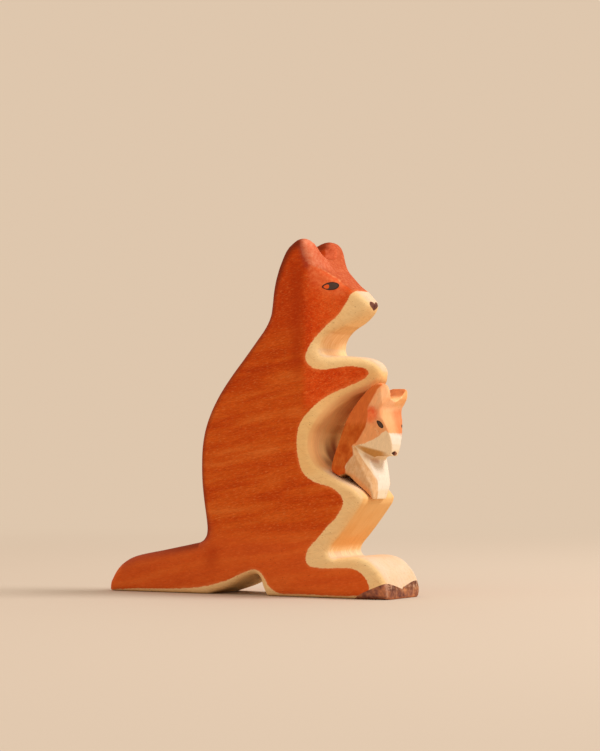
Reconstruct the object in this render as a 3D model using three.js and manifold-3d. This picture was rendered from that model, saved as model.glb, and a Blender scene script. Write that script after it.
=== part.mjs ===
// Wooden kangaroo figurine with a separate joey on its lap.
// Millimetres, +X towards the nose, +Y to the figure's left, +Z up.
import * as THREE from "three";
import { mergeVertices } from "three/addons/utils/BufferGeometryUtils.js";
import Module from "manifold-3d";

// Plank that the mother is sawn from, and the round sanded on its edges
const PLANK_THICKNESS = 30;
const EDGE_ROUND = 3;

// Heights in the side view of the mother: foot and thigh from the ground up, ears and head from the top down
const FIGURINE_HEIGHT = 145.4;
const FOOT_HEIGHT = 16.8;
const THIGH_HEIGHT = 36.3;
const HEAD_HEIGHT = 34.8;
const EAR_HEIGHT = 13.1;

// What rests on the ground: foot, arch at the heel, and tail
const HEEL_X = 11.2;
const FOOT_LENGTH = 56.4;
const ARCH_LENGTH = 29;
const ARCH_HEIGHT = 9;
const TAIL_LENGTH = 48.2;
const TAIL_HEIGHT = 17.9;
const TOE_X = HEEL_X + FOOT_LENGTH;
const TAIL_REST_END_X = HEEL_X - ARCH_LENGTH;
const TAIL_TIP_X = TAIL_REST_END_X - TAIL_LENGTH;

// Plan taper of head and arms: the plank is pared down towards nose and paws
const TAPER_START_X = 29.5;
const TAPER_LENGTH = 28;
const NOSE_HALF_WIDTH = 4.2;
const TAPER_HOLLOW = 1.8;
const TAPER_FLOOR_RISE = 19.9;
const TAPER_BLEND = 8;
const TAPER_STRIPS = 9;

// Notch between the mother's ears, run from front to back
const EAR_NOTCH_DEPTH = 8.5;
const EAR_NOTCH_WIDTH = 15;
const EAR_NOTCH_FLARE = 0.018;
const EAR_NOTCH_LENGTH = 30;

// Shallow groove that parts the two feet at the toes
const TOE_GROOVE_WIDTH = 1.8;
const TOE_GROOVE_DEPTH = 0.8;
const TOE_GROOVE_HEIGHT = 9;

// Joey, carved from its own block
const JOEY_THICKNESS = 24;
const JOEY_EDGE_ROUND = 1;
const JOEY_HEADROOM = 0.6;
const JOEY_MUZZLE_LENGTH = 7.8;
const JOEY_EAR_NOTCH_DEPTH = 7.4;
const JOEY_EAR_NOTCH_RISE = 0.3;
const JOEY_LEFT_EAR_DROP = 1.7;
const SEAT_GAP = 0.35;

// Fineness of the curves
const OUTLINE_STEP = 2.4;
const ROUND_STEPS = 4;

const wasm = await Module();
wasm.setup();

// The pattern's landmarks along its length: tail tip, end of the tail's rest, heel and toe
const PATTERN_LENGTHS = [-66, -17.8, 11.2, 67.6];
const SAWN_LENGTHS = [TAIL_TIP_X, TAIL_REST_END_X, HEEL_X, TOE_X];

// The pattern's landmarks in height: ground, foot, lap, forearms, brow and ear tips
const PATTERN_HEIGHTS = [0, 16.8, 53.1, 97.5, 132.3, 145.4];
const LAP_Z = FOOT_HEIGHT + THIGH_HEIGHT;
const BROW_Z = FIGURINE_HEIGHT - EAR_HEIGHT;
const SAWN_HEIGHTS = [0, FOOT_HEIGHT, LAP_Z, BROW_Z - HEAD_HEIGHT, BROW_Z, FIGURINE_HEIGHT];

// Place on the figurine of a place on the pattern, between the landmarks on either side of it
function carried(place, pattern, sawn) {
  const span = Math.max(pattern.findLastIndex((mark) => place >= mark), 0);
  const k = Math.min(span, pattern.length - 2);
  return sawn[k] + ((place - pattern[k]) * (sawn[k + 1] - sawn[k])) / (pattern[k + 1] - pattern[k]);
}

function along(x) {
  return carried(x, PATTERN_LENGTHS, SAWN_LENGTHS);
}

function up(z) {
  return carried(z, PATTERN_HEIGHTS, SAWN_HEIGHTS);
}

// Places on the pattern, brought to the figurine's own lengths and heights
function placed(places) {
  return places.map(([x, z]) => [along(x), up(z)]);
}

// Places whose heights alone are the pattern's
function lifted(places) {
  return places.map(([x, z]) => [x, up(z)]);
}

// Points along a curve through a few hand-set places, the last one left to the next stroke
function stroke(places) {
  const curve = new THREE.SplineCurve(places.map(([x, z]) => new THREE.Vector2(x, z)));
  const steps = Math.max(2, Math.round(curve.getLength() / OUTLINE_STEP));
  return curve.getSpacedPoints(steps).slice(0, -1);
}

// A straight edge, whose end belongs to the next stroke
function edge(from) {
  return [new THREE.Vector2(from[0], from[1])];
}

// Rounding that each corner of an outline has room for, given how sharply it and its neighbours turn
function roomForRound(outline, inward, round) {
  const count = outline.length;
  const slack = 0.9;
  const spans = outline.map((point, i) => point.distanceTo(outline[(i + 1) % count]));
  const sharpness = inward.map((way) => Math.sqrt(Math.max(way.lengthSq() - 1, 0)));
  const rooms = spans.map((span, i) => (slack * span) / (sharpness[i] + sharpness[(i + 1) % count] + 1e-6));
  return outline.map((point, i) => Math.min(round, rooms[i], rooms[(i + count - 1) % count]));
}

// Step inward at each corner of an outline that moves both its edges in by one
function inwardSteps(outline) {
  const count = outline.length;
  return outline.map((point, i) => {
    const before = point.clone().sub(outline[(i + count - 1) % count]).normalize();
    const after = outline[(i + 1) % count].clone().sub(point).normalize();
    const way = new THREE.Vector2(-before.y - after.y, before.x + after.x).normalize();
    return way.divideScalar(Math.max(way.x * -after.y + way.y * after.x, 0.25));
  });
}

// Board of the given outline in the XZ plane, centred on Y, with its edges rounded
function roundedBoard(points, thickness, round) {
  const outline = THREE.ShapeUtils.isClockWise(points) ? points.toReversed() : points;
  const count = outline.length;
  const inward = inwardSteps(outline);
  const rounds = roomForRound(outline, inward, round);
  const rings = [];
  for (let step = 0; step <= ROUND_STEPS; step += 1) {
    const angle = (step / ROUND_STEPS) * (Math.PI / 2);
    const ring = outline.map((point, i) => {
      const inset = rounds[i] * (1 - Math.sin(angle));
      const y = thickness / 2 - rounds[i] * (1 - Math.cos(angle));
      return [point.x + inward[i].x * inset, y, point.y + inward[i].y * inset];
    });
    rings.splice(step, 0, ring, ring.map(([x, y, z]) => [x, -y, z]));
  }
  const vertices = rings.flat(2);
  const at = (ring, i) => ring * count + (i % count);
  const faces = [];
  for (let ring = 0; ring + 1 < rings.length; ring += 1) {
    for (let i = 0; i < count; i += 1) {
      const corners = [at(ring, i), at(ring, i + 1), at(ring + 1, i + 1), at(ring + 1, i)];
      faces.push(corners[0], corners[1], corners[3], corners[1], corners[2], corners[3]);
    }
  }
  const cap = rings[0].map(([x, , z]) => new THREE.Vector2(x, z));
  for (const [a, b, c] of THREE.ShapeUtils.triangulateShape(cap, [])) {
    faces.push(a, c, b, at(rings.length - 1, a), at(rings.length - 1, b), at(rings.length - 1, c));
  }
  const board = new THREE.BufferGeometry();
  board.setAttribute("position", new THREE.Float32BufferAttribute(vertices, 3));
  board.setIndex(faces);
  return board;
}

// Closed, welded body ready for joining and cutting
function toSolid(geometry) {
  const bare = geometry.index ? geometry.toNonIndexed() : geometry.clone();
  bare.deleteAttribute("uv");
  bare.deleteAttribute("normal");
  const welded = mergeVertices(bare, 1e-4);
  const faces = [];
  for (let face = 0; face < welded.index.count; face += 3) {
    const [a, b, c] = [0, 1, 2].map((k) => welded.index.getX(face + k));
    if (a !== b && b !== c && c !== a) faces.push(a, b, c);
  }
  return new wasm.Manifold(new wasm.Mesh({
    numProp: 3,
    vertProperties: new Float32Array(welded.attributes.position.array),
    triVerts: new Uint32Array(faces),
  }));
}

function toGeometry(solid) {
  const mesh = solid.getMesh();
  const geometry = new THREE.BufferGeometry();
  geometry.setAttribute("position", new THREE.BufferAttribute(mesh.vertProperties, 3));
  geometry.setIndex(new THREE.BufferAttribute(mesh.triVerts, 1));
  return geometry;
}

// Bar of a constant cross-section in the YZ plane, run along X
function barAlongX(section, fromX, toX) {
  const shape = new THREE.Shape(section.map(([y, z]) => new THREE.Vector2(y, z)));
  const bar = new THREE.ExtrudeGeometry(shape, { depth: toX - fromX, bevelEnabled: false });
  bar.rotateY(Math.PI / 2);
  bar.rotateX(Math.PI / 2);
  bar.translate(fromX, 0, 0);
  return bar;
}

// Block that fills the space outside a flat knife cut
function outsideCut(place, normal) {
  const reach = 120;
  const block = new THREE.BoxGeometry(reach, reach, reach);
  block.translate(0, 0, reach / 2);
  const turn = new THREE.Quaternion().setFromUnitVectors(
    new THREE.Vector3(0, 0, 1),
    new THREE.Vector3(...normal).normalize(),
  );
  block.applyQuaternion(turn);
  block.translate(...place);
  return toSolid(block);
}

// The notch between the ears ends above the brow
const EAR_NOTCH_FRONT_X = along(38);

// Lap that the joey sits on, from the pouch floor to the knee
const LAP = placed([
  [36.6, 53.1], [41, 50], [45.7, 47.5], [49.6, 45.8], [52.6, 44.2], [54.4, 42.8],
]);
const KNEE = [along(56.3), up(40.2)];
const PAW_UNDER = [along(57.5), up(86.9)];
const lapCurve = new THREE.SplineCurve([...LAP, KNEE].map(([x, z]) => new THREE.Vector2(x, z)));

// Place a small gap above the lap, at a share of its length
function aboveLap(share, gap) {
  const place = lapCurve.getPointAt(share);
  const slope = lapCurve.getTangentAt(share);
  return [place.x - slope.y * gap, place.y + slope.x * gap];
}

function motherOutline() {
  const foot = [
    [TOE_X, EDGE_ROUND + 0.6], [TOE_X - 1.1, FOOT_HEIGHT - 9.5], [TOE_X - 3, FOOT_HEIGHT - 6.1],
    [TOE_X - 5.6, FOOT_HEIGHT - 3.4], [TOE_X - 8.4, FOOT_HEIGHT - 1.3], [TOE_X - 12, FOOT_HEIGHT - 0.2],
    [along(51.1), FOOT_HEIGHT], [along(43.6), FOOT_HEIGHT - 0.8],
  ];
  const shin = [foot.at(-1), ...placed([
    [41.1, 16.5], [40.2, 17.8], [40.5, 19.2], [42, 21.4], [45.3, 25], [49.4, 29.9], [53.4, 35], [55.6, 38],
  ]), KNEE];
  const lap = [KNEE, ...LAP.toReversed()];
  const pouch = [LAP[0], ...placed([
    [34.1, 56], [32.7, 59.4], [32.4, 62.8], [33.1, 66.6], [34.9, 70.3], [37.3, 73.7], [39.9, 76.7],
    [43, 79.3], [46.5, 81.7], [50.4, 83.9], [54.4, 85.6],
  ]), PAW_UNDER];
  const paw = [PAW_UNDER, ...placed([
    [58.9, 88.6], [59.2, 90.8], [58.2, 93.2], [55.7, 95.2], [51, 96.7], [44, 97.4], [38.2, 97.5],
  ])];
  const neck = placed([
    [38.2, 97.5], [35.7, 98.2], [34.8, 100.3], [35.3, 102.6], [37.1, 105], [39.8, 107.1], [42.5, 108.5],
    [45.5, 109.7], [48.8, 111.2], [51.8, 113.4],
  ]);
  const muzzle = placed([
    [51.8, 113.4], [53.8, 115.6], [54.6, 117.7], [54, 119.4], [52.5, 120.9], [50.7, 122.6], [48.6, 124.2],
    [45.6, 126], [43.3, 127.8], [40.4, 130.2], [37.8, 132.3],
  ]);
  const ear = placed([
    [37.8, 132.3], [35.9, 134.4], [34.6, 137.1], [33.7, 140], [32.3, 142.8], [30, 144.7],
    [26.8, 145.4], [23.3, 143.5], [20.6, 141], [18.6, 137.4], [16.9, 133.6],
  ]);
  const back = placed([
    [16.9, 133.6], [15.3, 128.7], [14.3, 123.9], [13.7, 119], [12.9, 114.1], [10.4, 109.3], [6.5, 104.5],
    [0.4, 97.2], [-5.9, 89.9], [-11.5, 82.5], [-15.8, 75.1], [-18.7, 67.7], [-20.1, 60.2], [-20.4, 52.5],
    [-20.1, 45.3], [-19.2, 38], [-18, 30.5], [-17.6, 26.7],
  ]);
  const tail = [
    back.at(-1), [TAIL_REST_END_X - 0.4, TAIL_HEIGHT + 5.7], [TAIL_REST_END_X - 2.6, TAIL_HEIGHT + 3.7],
    [TAIL_REST_END_X - 6.2, TAIL_HEIGHT + 2.8], [TAIL_TIP_X + TAIL_LENGTH * 0.58, TAIL_HEIGHT],
    [TAIL_TIP_X + 13.6, TAIL_HEIGHT * 0.844], [TAIL_TIP_X + 7.5, TAIL_HEIGHT * 0.698],
    [TAIL_TIP_X + 4.2, TAIL_HEIGHT * 0.547], [TAIL_TIP_X + 2.1, TAIL_HEIGHT * 0.391],
    [TAIL_TIP_X + 0.5, TAIL_HEIGHT * 0.212],
  ];
  const arch = [
    [TAIL_REST_END_X, 0], [TAIL_REST_END_X + 9.3, ARCH_HEIGHT * 0.33],
    [TAIL_REST_END_X + 16.1, ARCH_HEIGHT * 0.7], [HEEL_X - 8.1, ARCH_HEIGHT * 0.94],
    [HEEL_X - 5.2, ARCH_HEIGHT], [HEEL_X - 3, ARCH_HEIGHT * 0.82],
    [HEEL_X - 2.2, ARCH_HEIGHT * 0.5], [HEEL_X, 0],
  ];
  return [
    ...edge([TOE_X - 0.4, 0]),
    ...stroke(foot), ...stroke(shin), ...stroke(lap), ...stroke(pouch), ...stroke(paw),
    ...stroke(neck), ...stroke(muzzle), ...stroke(ear), ...stroke(back), ...stroke(tail),
    ...edge(tail.at(-1)), ...edge([TAIL_TIP_X, 0]), ...stroke(arch), ...edge([HEEL_X, 0]),
  ];
}

// Wood pared off each face at a share of the taper's length, starting gently and running out hollow
function paredDepth(run) {
  const eased = Math.min(run * run / (run + 0.08), 1);
  return (PLANK_THICKNESS / 2 - NOSE_HALF_WIDTH) * (1 - (1 - eased) ** TAPER_HOLLOW);
}

// Wood taken off at a place in the side view, in flat strips from one knife stroke to the next
function motherTaken(x, z) {
  const strokes = THREE.MathUtils.clamp((x - TAPER_START_X) / TAPER_LENGTH, 0, 1.2) * TAPER_STRIPS;
  const last = Math.floor(strokes);
  const pared = THREE.MathUtils.lerp(
    paredDepth(last / TAPER_STRIPS), paredDepth((last + 1) / TAPER_STRIPS), strokes - last,
  );
  const floor = LAP_Z + TAPER_FLOOR_RISE;
  return pared * THREE.MathUtils.smoothstep(z, floor - TAPER_BLEND, floor + TAPER_BLEND);
}

// Cut every triangle along the plane where one coordinate has the given value
function scored(geometry, axis, value) {
  const source = (geometry.index ? geometry.toNonIndexed() : geometry).attributes.position;
  const cut = [];
  for (let face = 0; face < source.count; face += 3) {
    const corners = [0, 1, 2].map((k) => new THREE.Vector3().fromBufferAttribute(source, face + k));
    const heights = corners.map((corner) => corner.getComponent(axis) - value);
    const halves = { below: [], above: [] };
    corners.forEach((corner, k) => {
      const next = (k + 1) % 3;
      if (heights[k] <= 0) halves.below.push(corner);
      if (heights[k] >= 0) halves.above.push(corner);
      if (heights[k] * heights[next] < 0) {
        const [low, high] = heights[k] < 0 ? [k, next] : [next, k];
        const share = heights[low] / (heights[low] - heights[high]);
        const crossing = corners[low].clone().lerp(corners[high], share);
        halves.below.push(crossing);
        halves.above.push(crossing);
      }
    });
    const rings = heights.every((height) => height <= 0) ? [corners] : [halves.below, halves.above];
    for (const ring of rings) {
      for (let k = 1; k + 1 < ring.length; k += 1) cut.push(ring[0], ring[k], ring[k + 1]);
    }
  }
  return new THREE.BufferGeometry().setFromPoints(cut);
}

// Bring both faces of the board in to the tapered width, keeping the rounded edges round
function pareSides(board) {
  let strips = board;
  for (let i = 0; i <= TAPER_STRIPS; i += 1) {
    strips = scored(strips, 0, TAPER_START_X + (TAPER_LENGTH * i) / TAPER_STRIPS);
  }
  for (const step of [-1, -0.3, 0.3, 1]) {
    strips = scored(strips, 2, LAP_Z + TAPER_FLOOR_RISE + step * TAPER_BLEND);
  }
  const places = strips.attributes.position;
  for (let i = 0; i < places.count; i += 1) {
    const y = places.getY(i);
    const taken = motherTaken(places.getX(i), places.getZ(i));
    places.setY(i, Math.sign(y) * Math.max(Math.abs(y) - taken, 0));
  }
  return strips;
}

// The knife opened the notch a little towards the right ear
function earNotch() {
  const floor = FIGURINE_HEIGHT - EAR_NOTCH_DEPTH;
  const half = EAR_NOTCH_WIDTH / 2;
  const section = [
    [-half * 0.35, floor], [half * 0.3, floor + 0.2], [half * 0.56, floor + 1.4], [half * 0.8, floor + 3.3],
    [half, floor + 5.2], [half * 1.35, floor + 8], [half * 1.7, FIGURINE_HEIGHT + 3],
    [-half * 2, FIGURINE_HEIGHT + 3], [-half * 1.65, floor + 8], [-half * 1.45, floor + 6],
    [-half * 1.32, floor + 4.2], [-half * 1.12, floor + 2.4], [-half * 0.8, floor + 0.9],
  ];
  const bar = barAlongX(section, EAR_NOTCH_FRONT_X - EAR_NOTCH_LENGTH, EAR_NOTCH_FRONT_X);
  const places = bar.attributes.position;
  for (let i = 0; i < places.count; i += 1) {
    const ahead = places.getX(i) - EAR_NOTCH_FRONT_X;
    places.setY(i, places.getY(i) * (1 + EAR_NOTCH_FLARE * ahead));
  }
  return toSolid(bar);
}

function toeGroove() {
  const half = TOE_GROOVE_WIDTH / 2;
  const section = new THREE.Shape([
    new THREE.Vector2(-TOE_GROOVE_DEPTH, 0),
    new THREE.Vector2(TOE_GROOVE_WIDTH, -half * (1 + TOE_GROOVE_WIDTH / TOE_GROOVE_DEPTH)),
    new THREE.Vector2(TOE_GROOVE_WIDTH, half * (1 + TOE_GROOVE_WIDTH / TOE_GROOVE_DEPTH)),
  ]);
  const bar = new THREE.ExtrudeGeometry(section, { depth: TOE_GROOVE_HEIGHT + 2, bevelEnabled: false });
  bar.translate(0, 0, -1);
  bar.rotateY(-0.02);
  bar.translate(TOE_X - 0.15, 0, 0);
  return toSolid(bar);
}

function motherGeometry() {
  const board = roundedBoard(motherOutline(), PLANK_THICKNESS, EDGE_ROUND);
  const body = toSolid(pareSides(board));
  return toGeometry(body.subtract(earNotch()).subtract(toeGroove()));
}

// Shares of the lap's length where the joey's seat and foot rest on it
const SEAT_BACK = 0.17;
const SEAT_FRONT = 0.38;
const LEG_REST = 0.78;

// The joey's head fits under the mother's paws, and its face stands out in front of its chest
const JOEY_TOP = [PAW_UNDER[0] + 4.5, PAW_UNDER[1] - JOEY_HEADROOM];
const JOEY_CHEST_X = KNEE[0] - 0.6;
const JOEY_FACE_X = JOEY_CHEST_X + JOEY_MUZZLE_LENGTH;

function joeyOutline() {
  const back = [aboveLap(SEAT_BACK, SEAT_GAP), ...placed([
    [41.1, 55.8], [43.8, 62.7], [47.7, 72.1], [51.9, 78.1], [55.6, 82.1],
  ]), [JOEY_TOP[0] - 3.7, JOEY_TOP[1] - 1.7], [JOEY_TOP[0] - 1.5, JOEY_TOP[1] - 0.4], JOEY_TOP];
  const face = [
    JOEY_TOP, [JOEY_FACE_X + 0.4, JOEY_TOP[1] - 1.3], [JOEY_FACE_X + 0.8, JOEY_TOP[1] - 3.8],
    [JOEY_FACE_X + 0.1, JOEY_TOP[1] - 7], [JOEY_FACE_X - 1.6, JOEY_TOP[1] - 9.6],
    [JOEY_FACE_X - 2.1, JOEY_TOP[1] - 11.3], ...lifted([
      [JOEY_FACE_X - 1.4, 72.4], [JOEY_FACE_X - 0.4, 69], [JOEY_FACE_X + 0.3, 65.5],
      [JOEY_FACE_X + 0.5, 62], [JOEY_FACE_X + 0.1, 58.9], [JOEY_FACE_X - 0.6, 57],
    ])];
  const chest = lifted([
    [JOEY_FACE_X - 0.6, 57], [JOEY_FACE_X - 3.5, 56.9], [JOEY_CHEST_X + 1.5, 56.8], [JOEY_CHEST_X, 55.6],
    [JOEY_CHEST_X + 0.5, 53.6], [JOEY_CHEST_X + 1.4, 51.9], [JOEY_CHEST_X + 2.2, 49.5],
    [JOEY_CHEST_X + 2.7, 46.8], [JOEY_CHEST_X + 2.9, 43.6],
  ]);
  const leg = [
    aboveLap(0.9, SEAT_GAP * 1.3), aboveLap(LEG_REST, SEAT_GAP), ...placed([
      [51.2, 46.1], [48.9, 48.4], [47.3, 49.8], [45.8, 49.6],
    ]), aboveLap(SEAT_FRONT, SEAT_GAP),
  ];
  const seat = [
    aboveLap(SEAT_FRONT, SEAT_GAP), aboveLap((SEAT_FRONT + SEAT_BACK) / 2, SEAT_GAP),
    aboveLap(SEAT_BACK, SEAT_GAP),
  ];
  const footTip = [JOEY_CHEST_X + 2.2, KNEE[1] - 0.8];
  return [
    ...stroke(chest), ...edge(chest.at(-1)), ...edge(footTip), ...stroke(leg), ...stroke(seat),
    ...stroke(back), ...stroke(face),
  ].reverse();
}

// Two more cuts that leave the left leg slimmer than the right one
function slimmerLeg() {
  const shin = outsideCut([JOEY_CHEST_X + 2.4, 5, up(44.2)], [0.883, 0.469, -0.317]);
  const thigh = outsideCut([JOEY_CHEST_X + 2.2, 5, up(50)], [0.883, 0.469, 0.137]);
  return shin.add(thigh);
}

// Flat knife cuts of one side of the joey, parted along the jaw and the brow
function joeySideCuts(side) {
  const face = JOEY_THICKNESS / 2;
  const jaw = outsideCut([JOEY_FACE_X - 11.5, side * face, up(62)], [0.318, side * 0.752, -0.578]);
  const brow = outsideCut([JOEY_FACE_X - 6.5, side * face, JOEY_TOP[1] - 10.7], [-0.35, 0, 0.94]);
  const muzzle = outsideCut([JOEY_FACE_X - 3, 0, up(65)], [1, 0, 0]);
  const cheekCut = outsideCut([JOEY_FACE_X - 11.3, side * face, up(63)], [0.52, side * 0.807, -0.28]);
  const cheek = cheekCut.subtract(jaw.subtract(muzzle));
  const templePlace = [JOEY_FACE_X - 4, side * face, JOEY_TOP[1] - 5.6];
  const temple = outsideCut(templePlace, [0.334, side * 0.918, -0.191]).intersect(brow);
  const flank = outsideCut([along(47.1), side * face, up(52)], [0.187, side * 0.976, -0.106]);
  const shoulder = [JOEY_CHEST_X - 1.4, side * (face - 2.7), up(54.6)];
  const upperArm = outsideCut(shoulder, [0.743, side * 0.63, 0.226]);
  const wrist = [JOEY_CHEST_X + 2.3, side * (face - 5), up(45)];
  const lowerArm = outsideCut(wrist, [0.972, side * 0.212, 0.104]);
  const below = flank.add(upperArm).add(lowerArm).add(side > 0 ? slimmerLeg() : lowerArm);
  return cheek.add(temple).add(below.intersect(jaw));
}

// Notch between the joey's ears, rising towards the back of the head
function joeyEarNotch() {
  const section = [
    [0, 0], [2.4, 0.4], [8.4, 4.6], [11, 8], [11, 22], [-8.6, 22], [-7.2, 8], [-5.9, 4.4], [-4.3, 1.2],
  ];
  const bar = barAlongX(section, -30, 12);
  bar.rotateY(JOEY_EAR_NOTCH_RISE);
  bar.translate(JOEY_FACE_X, 0, JOEY_TOP[1] - JOEY_EAR_NOTCH_DEPTH);
  return toSolid(bar);
}

function joeyGeometry() {
  const board = toSolid(roundedBoard(joeyOutline(), JOEY_THICKNESS, JOEY_EDGE_ROUND));
  const earPlace = [JOEY_TOP[0] + 0.4, JOEY_THICKNESS / 3, JOEY_TOP[1] - JOEY_LEFT_EAR_DROP];
  const leftEarTop = outsideCut(earPlace, [-0.1, 0.25, 0.96]);
  const rightHalf = outsideCut([JOEY_FACE_X, -1.5, JOEY_TOP[1]], [0, -1, 0]);
  return toGeometry(board
    .subtract(joeySideCuts(-1))
    .subtract(joeySideCuts(1))
    .subtract(joeyEarNotch())
    .subtract(leftEarTop.subtract(rightHalf)));
}

const figurine = new THREE.Group();
const mother = new THREE.Mesh(motherGeometry(), new THREE.MeshStandardMaterial({
  color: 0xb5511f, roughness: 0.62, metalness: 0,
}));
mother.name = "mother_kangaroo";
figurine.add(mother);
const joey = new THREE.Mesh(joeyGeometry(), new THREE.MeshStandardMaterial({
  color: 0xe8b070, roughness: 0.6, metalness: 0,
}));
joey.name = "joey";
figurine.add(joey);

// The origin lies under the middle of the figurine's length
figurine.position.x = -(TOE_X + TAIL_TIP_X) / 2;

export default figurine;
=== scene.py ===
"""Looks of the wooden kangaroo figurine: softened carving, stain, bare wood and painted details."""
import math

import bpy
import numpy as np
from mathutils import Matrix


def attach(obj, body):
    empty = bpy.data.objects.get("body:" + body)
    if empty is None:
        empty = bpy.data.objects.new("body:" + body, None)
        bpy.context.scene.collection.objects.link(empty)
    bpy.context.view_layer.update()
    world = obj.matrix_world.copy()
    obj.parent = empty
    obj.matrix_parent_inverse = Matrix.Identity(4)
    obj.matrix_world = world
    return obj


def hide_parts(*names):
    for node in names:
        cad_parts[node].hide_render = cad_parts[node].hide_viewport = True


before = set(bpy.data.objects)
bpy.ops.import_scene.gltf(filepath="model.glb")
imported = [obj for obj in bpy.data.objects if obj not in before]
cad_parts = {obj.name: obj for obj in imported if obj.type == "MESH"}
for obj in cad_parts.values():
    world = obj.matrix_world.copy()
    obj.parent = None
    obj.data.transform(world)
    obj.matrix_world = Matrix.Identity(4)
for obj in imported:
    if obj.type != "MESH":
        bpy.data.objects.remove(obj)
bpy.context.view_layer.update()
MM = 0.001

# Paint outlines in millimetres. The coat's front edge runs over neck, arm, belly, knee and foot,
# its lower edge under foot, arch and tail, and the rest lies outside the body.
COAT_FRONT = [
    (49.6, 126.5), (48.9, 123.9), (47.3, 123.5), (45.9, 122.1), (44.8, 119.8), (43.5, 117.5),
    (42.0, 114.9), (39.9, 112.4), (37.8, 110.5), (35.8, 108.2), (33.7, 105.7), (31.7, 102.9),
    (30.2, 99.9), (29.5, 97.6), (29.6, 95.8), (30.6, 94.1), (32.5, 92.5), (35.8, 91.9), (40.7, 92.6),
    (44.9, 93.3), (47.9, 93.1), (50.9, 92.5), (52.7, 91.6), (53.2, 90.3), (51.8, 88.4), (48.5, 86.6),
    (44.2, 84.6), (39.7, 82.5), (36.1, 80.1), (33.3, 77.6), (30.3, 74.3), (27.6, 71.0), (26.2, 67.7),
    (25.5, 62.8), (26.0, 57.4), (27.2, 52.9), (29.5, 49.2), (34.3, 46.4), (40.4, 44.8), (43.7, 43.2),
    (46.0, 41.1), (47.0, 38.3), (45.6, 35.0), (42.8, 31.4), (39.8, 28.8), (34.9, 23.7), (31.5, 20.4),
    (30.2, 17.9), (29.7, 15.4), (30.7, 13.3), (33.2, 12.3), (39.0, 12.0), (47.2, 12.4), (51.4, 12.0),
    (55.3, 10.3), (57.5, 7.9), (58.7, 5.1), (59.0, 2.0),
]
COAT_LOWER = [
    (56.0, 1.4), (42.6, 1.0), (32.4, 1.2), (22.0, 1.1), (17.0, 1.2), (14.3, 2.6), (12.0, 4.4),
    (10.4, 7.1), (8.9, 8.9), (7.3, 10.2), (4.9, 10.7), (2.6, 10.1), (-2.0, 8.4), (-6.4, 6.4),
    (-11.0, 5.0), (-16.6, 3.5), (-26.0, 2.2), (-38.8, 1.6), (-51.6, 1.3), (-61.9, 0.7), (-66.0, 0.3),
]
COAT_OUTSIDE = [(-75, 0), (-75, 40), (-30, 40), (-30, 90), (0, 160), (45, 160), (52, 140)]
TAIL_TOP = [
    (-18.6, 32.0), (-18.4, 26.7), (-19.0, 23.6), (-21.2, 21.6), (-24.8, 20.7), (-38.8, 17.9),
    (-53.2, 15.1), (-59.3, 12.5),
]
EYE = [
    (35.2, 125.2), (35.8, 126.0), (36.6, 126.6), (37.8, 127.1), (39.1, 127.3), (40.2, 127.1),
    (41.1, 126.7), (41.6, 126.0), (41.4, 125.2), (40.8, 124.6), (39.7, 124.1), (38.3, 124.0),
    (37.2, 124.1), (36.2, 124.5), (35.6, 124.9),
]
EYE_CORNER = [
    (35.8, 125.3), (36.6, 126.0), (37.4, 126.3), (37.9, 126.1), (38.0, 125.4), (37.7, 124.7),
    (36.8, 124.6), (36.2, 124.9),
]
NOSE = [
    (-3.3, 119.0), (-2.4, 119.3), (-1.3, 119.1), (-0.4, 118.5), (0.4, 119.1), (1.7, 119.3), (2.8, 118.7),
    (2.9, 117.9), (1.9, 117.0), (0.7, 116.2), (-0.2, 115.7), (-1.6, 116.3), (-3.0, 117.1), (-3.5, 118.0),
]
TOES_SIDE = [(48.0, -2.0), (51.5, 0.4), (55.6, 2.6), (59.3, 4.2), (62.8, 5.5), (65.2, 6.4), (70.0, 8.0)]
TOES_FRONT = [
    (-15.0, 6.5), (-13.0, 6.4), (-10.6, 6.1), (-6.7, 5.2), (-2.0, 3.9), (2.1, 5.2), (7.1, 6.2),
    (10.6, 6.7), (15.0, 7.0),
]
JOEY_SIDE = [
    (61.5, 88.0), (60.6, 83.5), (58.7, 80.1), (56.9, 77.2), (56.3, 75.1), (56.3, 71.9), (55.2, 68.7),
    (53.6, 66.0), (51.2, 62.3), (49.9, 61.7), (49.4, 60.7), (49.8, 57.6), (48.6, 56.2), (46.3, 52.9),
    (46.2, 51.0), (44.5, 49.6), (35.0, 51.0), (35.0, 88.0),
]
JOEY_ARM = [
    (49.4, 60.9), (50.6, 60.4), (51.6, 58.2), (53.0, 55.6), (54.6, 52.9), (56.4, 49.9), (57.5, 46.6),
    (57.7, 43.0), (57.6, 38.0), (44.0, 40.0), (45.9, 50.4), (47.6, 55.6),
]
JOEY_CREAM = [
    (50.0, 61.0), (54.2, 62.1), (55.9, 63.0), (57.6, 63.9), (59.3, 65.1), (60.6, 66.4), (61.9, 67.2),
    (62.6, 66.3), (64.5, 65.5),
]
JOEY_CHIN = [(50.6, 60.7), (53.2, 58.4), (56.2, 56.3)]
JOEY_TEMPLE = [
    (55.9, 75.4), (56.9, 76.4), (58.4, 76.4), (59.3, 75.0), (59.4, 73.4), (58.8, 71.8), (57.2, 70.6),
    (56.0, 71.6),
]
JOEY_CHEEK = [
    (55.8, 77.0), (59.5, 77.2), (61.5, 75.0), (61.5, 71.5), (61.4, 69.6), (59.8, 69.0), (58.0, 69.2),
    (56.4, 70.0), (55.4, 70.6), (56.0, 73.0),
]
JOEY_BROW = [
    (-8.6, 71.0), (-7.2, 73.6), (-3.5, 74.8), (1.1, 75.2), (9.4, 75.4), (9.4, 70.0), (7.4, 65.8),
    (4.0, 65.7), (1.0, 66.1), (-1.9, 66.2), (-6.2, 67.3), (-8.4, 68.9),
]
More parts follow.
